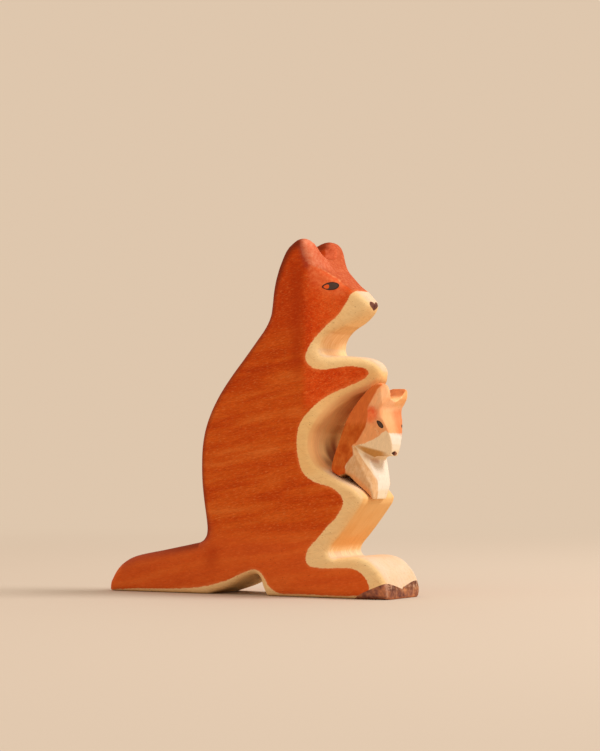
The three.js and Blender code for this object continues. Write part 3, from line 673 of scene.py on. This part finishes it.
class Paint:
    """A material under construction: short names for its nodes. A text stands for the noise, the span or
    else the mesh's value of that name, and three numbers stand for a colour."""

    def __init__(self, name, spaces, noises, spans):
        self.material = bpy.data.materials.new(name)
        self.material.use_nodes = True
        self.nodes = self.material.node_tree.nodes
        self.links = self.material.node_tree.links
        self.shader = self.nodes["Principled BSDF"]
        self.spans = spans
        self.sources = {}
        made = {key: self.grain_space(*space) for key, space in spaces.items()}
        for key, (space, cells, *values) in noises.items():
            self.sources[key] = self.noise(self.stretched(made[space], cells), *values)

    def plug(self, socket, value):
        if isinstance(value, str):
            value = self.source(value)
        if isinstance(value, bpy.types.NodeSocket):
            self.links.new(value, socket)
        else:
            socket.default_value = rgb(*value) if isinstance(value, tuple) else value

    def source(self, name):
        if name in self.spans and name not in self.sources:
            value, noise, amount, *ends = self.spans[name]
            self.sources[name] = self.span(self.ragged(value, noise, amount) if noise else value, *ends)
        elif name not in self.sources:
            node = self.nodes.new("ShaderNodeAttribute")
            node.attribute_name = name
            self.sources[name] = node.outputs["Fac"]
        return self.sources[name]

    def math(self, operation, a, b=0.0):
        node = self.nodes.new("ShaderNodeMath")
        node.operation = operation
        self.plug(node.inputs[0], a)
        self.plug(node.inputs[1], b)
        return node.outputs[0]

    def ragged(self, value, noise, amount):
        """A value that a noise moves up or down by at most half an amount."""
        return self.math("ADD", value, self.math("MULTIPLY", self.math("SUBTRACT", noise, 0.5), amount))

    def average(self, a, b, share):
        """So much of one value and the rest of another."""
        return self.math("ADD", self.math("MULTIPLY", a, share), self.math("MULTIPLY", b, 1 - share))

    def span(self, value, low, high, out_low=0.0, out_high=1.0):
        """Softly from one value to another as a value goes from low to high."""
        if low > high:
            low, high, out_low, out_high = high, low, out_high, out_low
        node = self.nodes.new("ShaderNodeMapRange")
        node.interpolation_type = "SMOOTHSTEP"
        self.plug(node.inputs["Value"], value)
        node.inputs["From Min"].default_value = low
        node.inputs["From Max"].default_value = high
        node.inputs["To Min"].default_value = out_low
        node.inputs["To Max"].default_value = out_high
        return node.outputs["Result"]

    def mix(self, share, under, over):
        node = self.nodes.new("ShaderNodeMix")
        node.data_type = "RGBA"
        self.plug(node.inputs["Factor"], share)
        self.plug(node.inputs["A"], under)
        self.plug(node.inputs["B"], over)
        return node.outputs["Result"]

    def lay(self, under, over, a, b):
        """One colour over another by the product of two shares."""
        return self.mix(self.math("MULTIPLY", a, b), under, over)

    def brighten(self, colour, value):
        node = self.nodes.new("ShaderNodeHueSaturation")
        self.plug(node.inputs["Value"], value)
        self.plug(node.inputs["Color"], colour)
        return node.outputs["Color"]

    def worked(self, colour, workings):
        """A colour after each of its workings."""
        for noise, start, full, first, second in workings:
            if isinstance(second, tuple):
                colour = self.lay(colour, second, self.span(noise, start, full), first)
            else:
                colour = self.brighten(colour, self.span(noise, start, full, first, second))
        return colour

    def grain_space(self, rise, bend, per_m):
        """Object space turned so that X runs along the grain; a slow noise bends the grain."""
        place = self.nodes.new("ShaderNodeTexCoord").outputs["Object"]
        if bend:
            slow = self.noise(place, 1.0, 0.5, per_m, "Color")
            shift = self.nodes.new("ShaderNodeVectorMath")
            shift.operation = "SUBTRACT"
            self.plug(shift.inputs[0], slow)
            shift.inputs[1].default_value = (0.5, 0.5, 0.5)
            moved = self.nodes.new("ShaderNodeVectorMath")
            moved.operation = "MULTIPLY_ADD"
            self.plug(moved.inputs[0], shift.outputs[0])
            moved.inputs[1].default_value = (bend, bend * BEND_THROUGH, bend)
            self.plug(moved.inputs[2], place)
            place = moved.outputs[0]
        turn = self.nodes.new("ShaderNodeMapping")
        self.plug(turn.inputs["Vector"], place)
        turn.inputs["Rotation"].default_value = (0, math.radians(rise), 0)
        return turn.outputs["Vector"]

    def stretched(self, space, cells):
        """A space with so many cells in each mm along the grain, through the plank and across the grain."""
        node = self.nodes.new("ShaderNodeMapping")
        self.plug(node.inputs["Vector"], space)
        node.inputs["Scale"].default_value = [number / MM for number in cells]
        return node.outputs["Vector"]

    def noise(self, space, detail, roughness, scale, output="Fac"):
        node = self.nodes.new("ShaderNodeTexNoise")
        self.plug(node.inputs["Vector"], space)
        node.inputs["Scale"].default_value = scale
        node.inputs["Detail"].default_value = detail
        node.inputs["Roughness"].default_value = roughness
        return node.outputs[output]

    def ramp(self, value, stops):
        node = self.nodes.new("ShaderNodeValToRGB")
        self.plug(node.inputs["Fac"], value)
        elements = node.color_ramp.elements
        while len(elements) < len(stops):
            elements.new(0.5)
        for element, (position, colour) in zip(elements, stops):
            element.position = position
            element.color = rgb(*colour)
        return node.outputs["Color"]

    def finish(self, colour, roughness, height, depth_mm):
        self.plug(self.shader.inputs["Base Color"], colour)
        self.plug(self.shader.inputs["Roughness"], roughness)
        self.shader.inputs["Specular IOR Level"].default_value = SHEEN
        bump = self.nodes.new("ShaderNodeBump")
        bump.inputs["Strength"].default_value = 1.0
        bump.inputs["Distance"].default_value = depth_mm * MM
        self.plug(bump.inputs["Height"], height)
        self.plug(self.shader.inputs["Normal"], bump.outputs["Normal"])
        return self.material


def mother_stain(p, c):
    """Orange stain: soft streaks and short bright strokes on the flat side, more even on head and arms."""
    flat = p.mix("calm", p.ramp("streaks", c["flat"]), p.ramp("mottle", c["calm"]))
    stain = p.mix("pared_part", flat, p.ramp(p.average("mottle", "cloud", PARED_MOTTLE_SHARE), c["pared"]))
    stain = p.worked(stain, STAIN_WORK)
    stain = p.lay(stain, p.mix("mottle", *c["low"]), "low", LOW_SHARE)
    stain = p.worked(stain, STAIN_PORES)
    stain = p.lay(stain, p.ramp("mottle", c["ear_root"]), "ear_root", EAR_ROOT_SHARE)
    # Redder ears and forehead, with a painted highlight line where the flat of the side meets them
    ears = p.ramp(p.average("mottle", "strokes", EARS_MOTTLE_SHARE), c["ears"])
    # Painted highlight on the front of the near ear, and paler paint for light on the far ear's inner face
    for mark in ("near_ear_highlight", "ear_bowl_light"):
        ears = p.mix(mark, ears, p.ramp("mottle", c[mark]))
    stain = p.mix("brow_part", stain, ears)
    # Painted shade down the chest and at the tail's root, a purple wash, and the dark back edge, partly
    # darker stain and partly painted shade
    for mark in ("shade", "purple", "rim"):
        stain = p.mix(mark, stain, c[mark])
    from_ridge = p.math("ABSOLUTE", p.ragged("brow", "wander", RIDGE_RAGGED))
    line = p.math("MULTIPLY", p.span(from_ridge, *RIDGE_WIDTH, 1, 0), "ridge_highlight")
    stain = p.lay(stain, c["ridge_highlight"], line, "ridge_highlight_broken")
    # Thinner in places along its border
    return p.lay(stain, c["coat_edge"], "coat_border", "coat_thin")


def mother_bare_wood(p, c):
    """Bare wood: warm and pale, with faint lines along the plank, painted paler where it faces the lamp and
    low down and high up for sheen, with painted shade on the walls of the hollow and in the jaw's crease,
    and painted sheen on the instep's knife marks.
    """
    # Painted light: a paler copy where the wood faces the lamp, and a paler tint low down and high up for
    # sheen
    bare = p.mix("bright", p.mix("sheen_tint", *c["side_wood"]), p.mix("sheen_tint", *c["lit_wood"]))
    bare = p.worked(bare, BARE_WORK)
    # Painted shade in the hollow: on its rounded edge, on its wall, most near the joey, and under its
    # ceiling
    shaded_wall = p.lay(p.ramp("deep", c["shaded_wall"]), c["ceiling_shade"], "ceiling_shade", "ceiling_shade_depth")
    shaded_wall = p.mix("hollow_shadow", shaded_wall, c["hollow_shadow"])
    shaded_wall = p.worked(shaded_wall, WALL_WORK)
    bare = p.lay(bare, c["hollow_rim_shade"], "hollow", "hollow_rim_shade_part")
    bare = p.lay(bare, shaded_wall, "hollow", "hollow_wall_part")
    bare = p.mix("warm", bare, p.worked(p.mix("shin_layers", *c["shin"]), SHIN_WORK))
    bare = p.mix("throat", bare, p.ramp("strips", c["throat"]))
    # Painted shade in the crease under the jaw
    bare = p.lay(bare, c["jaw"], "jaw", "jaw_broken")
    # Light strokes in the instep crease: knife marks with painted sheen
    return p.lay(bare, c["instep_sheen"], "instep_sheen", "instep_sheen_broken")


def mother_toes(p, c):
    """Brown toes, darker and redder in cloudy spots, orange along their lower edge. Painted brighter
    where they face away from the lamp and darker where they face it, with pale blotches of painted sheen
    there and a painted highlight along the near toe's front edge.
    """
    toe = p.ramp("toe_cloud", c["toe"])
    # Painted light: brighter where the toes face away from the lamp, darker where they face it, pale sheen
    # there
    lit_change = p.math("MULTIPLY", "bright", TOE_LIT_BRIGHTNESS - TOE_SHADE_BRIGHTNESS)
    toe = p.brighten(toe, p.math("ADD", TOE_SHADE_BRIGHTNESS, lit_change))
    toe = p.lay(toe, c["toe_sheen"], "toe_light", "bright")
    toe = p.worked(toe, TOE_WORK)
    toe = p.mix("toe_edge_part", toe, c["toe_edge"])
    # Painted highlight along the near toe's front edge
    return p.lay(toe, c["toe_ridge_highlight"], "toe_ridge_highlight", "toe_ridge_highlight_broken")


def mother_wood():
    p = Paint("mother_wood", MOTHER_SPACES, MOTHER_NOISES, MOTHER_SPANS)
    c = MOTHER_COLOURS
    colour = p.mix("coat_part", mother_bare_wood(p, c), mother_stain(p, c))
    colour = p.mix("toe_part", colour, mother_toes(p, c))
    eye = p.mix("eye_corner_part", p.mix("eye_middle", *c["eye"]), c["eye_corner"])
    colour = p.mix("eye_part", colour, eye)
    colour = p.mix("nose_part", colour, p.ramp("mottle", c["nose"]))
    roughness = p.math("SUBTRACT", "bare_roughness", "coat_smoother")
    return p.finish(colour, roughness, p.math("ADD", "fibres", "strokes"), MOTHER_RELIEF)


def joey_wood():
    p = Paint("joey_wood", JOEY_SPACES, JOEY_NOISES, JOEY_SPANS)
    c = JOEY_COLOURS
    # Peach head, cream muzzle and chest, tan arms; the cream is painted paler where it faces the lamp
    peach = p.worked(p.mix("high", *c["peach"]), PEACH_WORK)
    colour = p.mix("peach_part", p.mix("bright", *c["cream"]), peach)
    colour = p.mix("arm_part", colour, p.mix("under_part", p.ramp("mottle", c["arm"]), c["under_arm"]))
    # Painted shade on the jaw's underside, and painted shadow on the chest below the chin
    for mark in ("jaw", "chin_shadow"):
        colour = p.mix(mark, colour, c[mark])
    # Face and ears, with the far ear's own colour painted paler for light on it and painted shade in its
    # bowl
    colour = p.mix("cheek_part", colour, c["cheek"])
    colour = p.mix("temple_part", colour, p.mix("temple_patches", *c["temple"]))
    colour = p.mix("brow_part", colour, p.mix("far_forehead", *c["forehead"]))
    colour = p.mix("far_ear", colour, p.ramp("patchy", c["far_ear"]))
    colour = p.mix("far_bowl_shade", colour, p.ramp("mottle", c["far_bowl_shade"]))
    # Ear tips, and painted shade on the bare wood under the seat
    for mark in ("tips", "seat_underside_shade"):
        colour = p.mix(mark, colour, c[mark])
    # Orange coat on back and sides
    coat = p.ramp(p.average("mottle", "patchy", JOEY_MOTTLE_SHARE), c["coat"])
    coat = p.lay(coat, c["high_coat"], "high", JOEY_HIGH_SHARE)
    coat = p.lay(coat, c["seat_coat"], "seat", JOEY_SEAT_SHARE)
    colour = p.worked(p.mix("coat_part", colour, coat), JOEY_WORK)
    # Paler paint along ridges, partly wear and partly painted highlight
    colour = p.mix("ridge_wear_and_highlight_part", colour, c["ridge_wear_and_highlight"])
    colour = p.mix("eye_part", colour, p.mix("eye_middle", *c["eye"]))
    colour = p.mix("nose_part", colour, p.mix("nose_far", *c["nose"]))
    return p.finish(colour, "roughness", p.math("ADD", "fibres", "mottle"), JOEY_RELIEF)


# Mother

mesh = softened("mother_kangaroo", MOTHER_CELL)
place = thickened(vectors_of(mesh, "co") / MM, POUCH, POUCH_FILL)
put_back(mesh, place)
at = measures(place, vectors_of(mesh, "normal"))
x, y, z = place.T
side_view, front_view = place[:, [0, 2]], place[:, [1, 2]]
band = {name: fades(at, *entry) for name, entry in MOTHER_BANDS.items()}
line = {name: along_line(place, *entry) for name, entry in MOTHER_LINES.items()}
front, lower = curve(COAT_FRONT, closed=False, steps=4), curve(COAT_LOWER, closed=False, steps=3)
gap = outline_gap(place)
head = band["head"]
# The dark back edge: partly darker stain, partly painted shade where the rounding turns from the light
rim = 1 - step(gap, between(RIM_FULL, head), between(RIM_END, head))
chest_shade = np.exp(-((x - CHEST_SHADE_X) / CHEST_SHADE_REACH) ** 2) * band["chest"]
far_shadow = HOLLOW_SHADOW * np.maximum(band["far_shadow"] * (1 - band["far_end"]), band["middle_shadow"])
keep(mesh, {
    "coat": inside(side_view, np.vstack([front, lower, COAT_OUTSIDE])),
    "brow": inside(side_view, EAR_AND_BROW),
    "toes": np.minimum(level(x, TOES_SIDE), level(y, TOES_FRONT)) - z,
    "eye": np.where(at["out"] > EYE_OUT, inside(side_view, curve(EYE)), OFF),
    "eye_corner": np.where(at["out"] > EYE_OUT, inside(side_view, curve(EYE_CORNER)), OFF),
    "nose": np.where(x > NOSE_X, inside(front_view, curve(NOSE)), OFF),
    "rim": rim * band["back"] * between(RIM_SHARE, head) * between(RIM_LEFT, band["rounded"]),
    "purple": np.maximum(line["ear_edge"], line["tail_top"] * band["tail_top"]),
    "shade": np.maximum(chest_shade, line["tail_root_shade"]),
    "pared": np.minimum(x - PARED_X, (z - PARED_Z) * PARED_SLOPE),
    "near_ear_highlight": band["near_ear_highlight"] * between(NEAR_EAR_HIGHLIGHT_SHARE, band["ear_side"]),
    "ear_root": line["ear_root"] * band["ear_root"],
    "deep": np.clip((y - NEAR_WALL_Y) / WALL_DEPTH, 0, 1),
    "hollow_shadow": np.maximum(far_shadow, band["near_shadow"]),
    "ceiling_shade": band["ceiling_shade"] + band["ceiling_top_shade"],
    "turned": at["turned"],
    "sheen_tint": np.maximum(band["low_sheen_tint"], band["high_sheen_tint"]),
    "jaw": line["jaw"] * band["jaw"],
    "instep_sheen": line["instep_sheen"] * band["instep_sheen"],
    "toe_ridge_highlight": line["toe_ridge_highlight"],
})
keep(mesh, {name: band[name] for name in (
    "calm", "low", "ear_bowl_light", "ridge_highlight", "hollow", "warm", "throat", "toe_edge", "bright",
)})
mother = bpy.data.objects.new("mother_carving", mesh)
mesh.materials.clear()
mesh.materials.append(mother_wood())

# Joey

mesh = softened("joey", JOEY_CELL)
place = vectors_of(mesh, "co") / MM
for hand in (-1, 1):
    for (forward, sideways, up), reach, bands in (TEMPLE_CUT, JAW_CUT):
        share = fades(measures(place, hand=hand), 1, bands)
        place = knife(place, (forward, sideways * hand, up), reach, share)
normal, reach, bands = NEAR_EAR_CUT
place = knife(place, normal, reach, fades(measures(place), 1, bands))
far_tip = (place[:, 1] > FAR_EAR_Y) & (place[:, 2] > FAR_EAR_Z)
reach = (place[far_tip] @ FAR_EAR_CORNER).max() - FAR_EAR_CUT_DEPTH
place = knife(place, FAR_EAR_CORNER, reach, fades(measures(place), 1, FAR_EAR_BANDS))
rounding = JOEY_ROUNDING_LEAST + sum(fades(measures(place), *entry) for entry in JOEY_ROUNDING)
pull = np.minimum(rounding, 1)[:, None] * JOEY_ROUNDING_PULL
place = relaxed(mesh, place, JOEY_ROUNDING_PASSES, pull)
put_back(mesh, place)
facing = vectors_of(mesh, "normal")
at = measures(place, facing)
x, y, z = place.T
side_view, front_view = place[:, [0, 2]], place[:, [1, 2]]
band = {name: fades(at, *entry) for name, entry in JOEY_BANDS.items()}
outlines = {"side": JOEY_SIDE, "arm": JOEY_ARM, "temple": JOEY_TEMPLE, "cheek": JOEY_CHEEK}
outline = {name: inside(side_view, curve(points, steps=3)) for name, points in outlines.items()}
back = np.maximum(at["out"] - JOEY_COAT_OUT, (-facing[:, 0] - JOEY_BACK_TURN) * JOEY_BACK_SLOPE)
side = np.minimum(outline["side"], back)
far_bowl_shade = band["far_ear"] * band["far_bowl_shade"]
off_face = HIDDEN * (at["out"] < JOEY_FACE_OUT)
near_eye = inside(side_view, curve(JOEY_EYE))
far_eye = inside(side_view - JOEY_FAR_EYE_SHIFT, curve(JOEY_EYE))
brow = inside(front_view, curve(JOEY_BROW, steps=3))
keep(mesh, {
    "side": side,
    "arm": np.where(at["out"] > JOEY_ARM_OUT, outline["arm"], OFF),
    "under": JOEY_UNDER_ARM - (z - level(x, UNDER_ARM)) - band["arm_end"],
    "peach": np.where(z > JOEY_CREAM_Z, z - level(x, JOEY_CREAM), OFF),
    "temple": outline["temple"] - off_face,
    "cheek": outline["cheek"] - off_face,
    "brow": brow - HIDDEN * (x < JOEY_FOREHEAD_X),
    "far_bowl_shade": far_bowl_shade,
    "tips": band["tips"] * (1 - far_bowl_shade),
    "seat_underside_shade": band["seat_underside_shade"] * (side < JOEY_SEAT_COAT),
    "eye": np.where(y < JOEY_NEAR_EYE_Y, near_eye, np.where(y > JOEY_FAR_EYE_Y, far_eye, OFF)),
    "nose": np.where(x > JOEY_NOSE_X, inside(front_view, curve(JOEY_NOSE)), OFF),
    "chin_shadow": along_line(place, *JOEY_LINES["chin_shadow"]),
    "sideways": y,
    "bulge": bulge(mesh),
})
keep(mesh, {name: band[name] for name in ("far_ear", "seat", "jaw", "high", "bright")})
joey = bpy.data.objects.new("joey_carving", mesh)
mesh.materials.clear()
mesh.materials.append(joey_wood())

for piece, node, body, slot in (
    (mother, "mother_kangaroo", "mother", "stained_wood"), (joey, "joey", "joey", "light_wood"),
):
    bpy.context.scene.collection.objects.link(piece)
    piece.data.polygons.foreach_set("use_smooth", [True] * len(piece.data.polygons))
    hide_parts(node)
    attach(piece, body)


# Stage, light and camera

def seen_directly(nodes, links):
    """1 for what the camera or a gloss sees, 0 for light on its way elsewhere."""
    path = nodes.new("ShaderNodeLightPath")
    seen = nodes.new("ShaderNodeMath")
    seen.operation = "MAXIMUM"
    links.new(path.outputs["Is Camera Ray"], seen.inputs[0])
    links.new(path.outputs["Is Glossy Ray"], seen.inputs[1])
    return seen.outputs[0]


def mixed(nodes, links, share, first, second):
    """Two shaders, the second by a share."""
    mix = nodes.new("ShaderNodeMixShader")
    links.new(share, mix.inputs["Fac"])
    links.new(first.outputs[0], mix.inputs[1])
    links.new(second.outputs[0], mix.inputs[2])
    return mix.outputs[0]


def stage_floor():
    bpy.ops.mesh.primitive_plane_add(size=FLOOR_SIZE, location=(0, 0, 0))
    floor = bpy.context.object
    floor.name = "floor"
    material = bpy.data.materials.new("floor")
    material.use_nodes = True
    nodes, links = material.node_tree.nodes, material.node_tree.links
    shader = nodes["Principled BSDF"]
    shader.inputs["Base Color"].default_value = FLOOR_COLOUR
    shader.inputs["Roughness"].default_value = FLOOR_ROUGHNESS
    shader.inputs["Specular IOR Level"].default_value = FLOOR_SHEEN
    # Far from the object the floor takes the backdrop's plain colour
    far = nodes.new("ShaderNodeEmission")
    far.inputs["Color"].default_value = BACKDROP
    place = nodes.new("ShaderNodeTexCoord")
    length = nodes.new("ShaderNodeVectorMath")
    length.operation = "LENGTH"
    links.new(place.outputs["Object"], length.inputs[0])
    away = nodes.new("ShaderNodeMapRange")
    away.interpolation_type = "SMOOTHSTEP"
    away.inputs["From Min"].default_value, away.inputs["From Max"].default_value = FLOOR_FADE
    links.new(length.outputs["Value"], away.inputs["Value"])
    share = nodes.new("ShaderNodeMath")
    share.operation = "MULTIPLY"
    links.new(seen_directly(nodes, links), share.inputs[0])
    links.new(away.outputs["Result"], share.inputs[1])
    surface = nodes["Material Output"].inputs["Surface"]
    links.new(mixed(nodes, links, share.outputs[0], shader, far), surface)
    floor.data.materials.append(material)


def studio_world():
    world = bpy.data.worlds.new("studio")
    bpy.context.scene.world = world
    world.use_nodes = True
    nodes, links = world.node_tree.nodes, world.node_tree.links
    around = nodes["Background"]
    around.inputs["Color"].default_value = AROUND_COLOUR
    around.inputs["Strength"].default_value = AROUND_STRENGTH
    behind = nodes.new("ShaderNodeBackground")
    behind.inputs["Color"].default_value = BACKDROP
    surface = nodes["World Output"].inputs["Surface"]
    links.new(mixed(nodes, links, seen_directly(nodes, links), around, behind), surface)


def key_lamp():
    lamp = bpy.data.lights.new("key", "AREA")
    lamp.shape = "DISK"
    lamp.size = KEY_SIZE
    lamp.energy = KEY_WATTS
    lamp.color = KEY_COLOUR
    holder = bpy.data.objects.new("key", lamp)
    bpy.context.scene.collection.objects.link(holder)
    holder.location = KEY_PLACE
    direction = np.array(KEY_AIM) - np.array(KEY_PLACE)
    heading = math.atan2(direction[1], direction[0])
    dip = math.atan2(direction[2], math.hypot(direction[0], direction[1]))
    holder.rotation_euler = (math.pi / 2 + dip, 0, heading - math.pi / 2)


stage_floor()
studio_world()
key_lamp()

lens = bpy.data.cameras.new("camera")
camera = bpy.data.objects.new("camera", lens)
bpy.context.scene.collection.objects.link(camera)
lens.sensor_fit = "AUTO"
lens.sensor_width = SENSOR_MM
lens.lens = FOCAL_PIXELS * SENSOR_MM / PICTURE_HEIGHT_PIXELS
camera.location = CAMERA_PLACE
upwards = math.atan(AIM_UP_PIXELS / FOCAL_PIXELS)
rightwards = math.atan(AIM_RIGHT_PIXELS / FOCAL_PIXELS)
camera.rotation_euler = (math.pi / 2 + upwards, 0, math.radians(CAMERA_TURN) - rightwards)
bpy.context.scene.camera = camera
bpy.context.scene.view_settings.view_transform = "Standard"
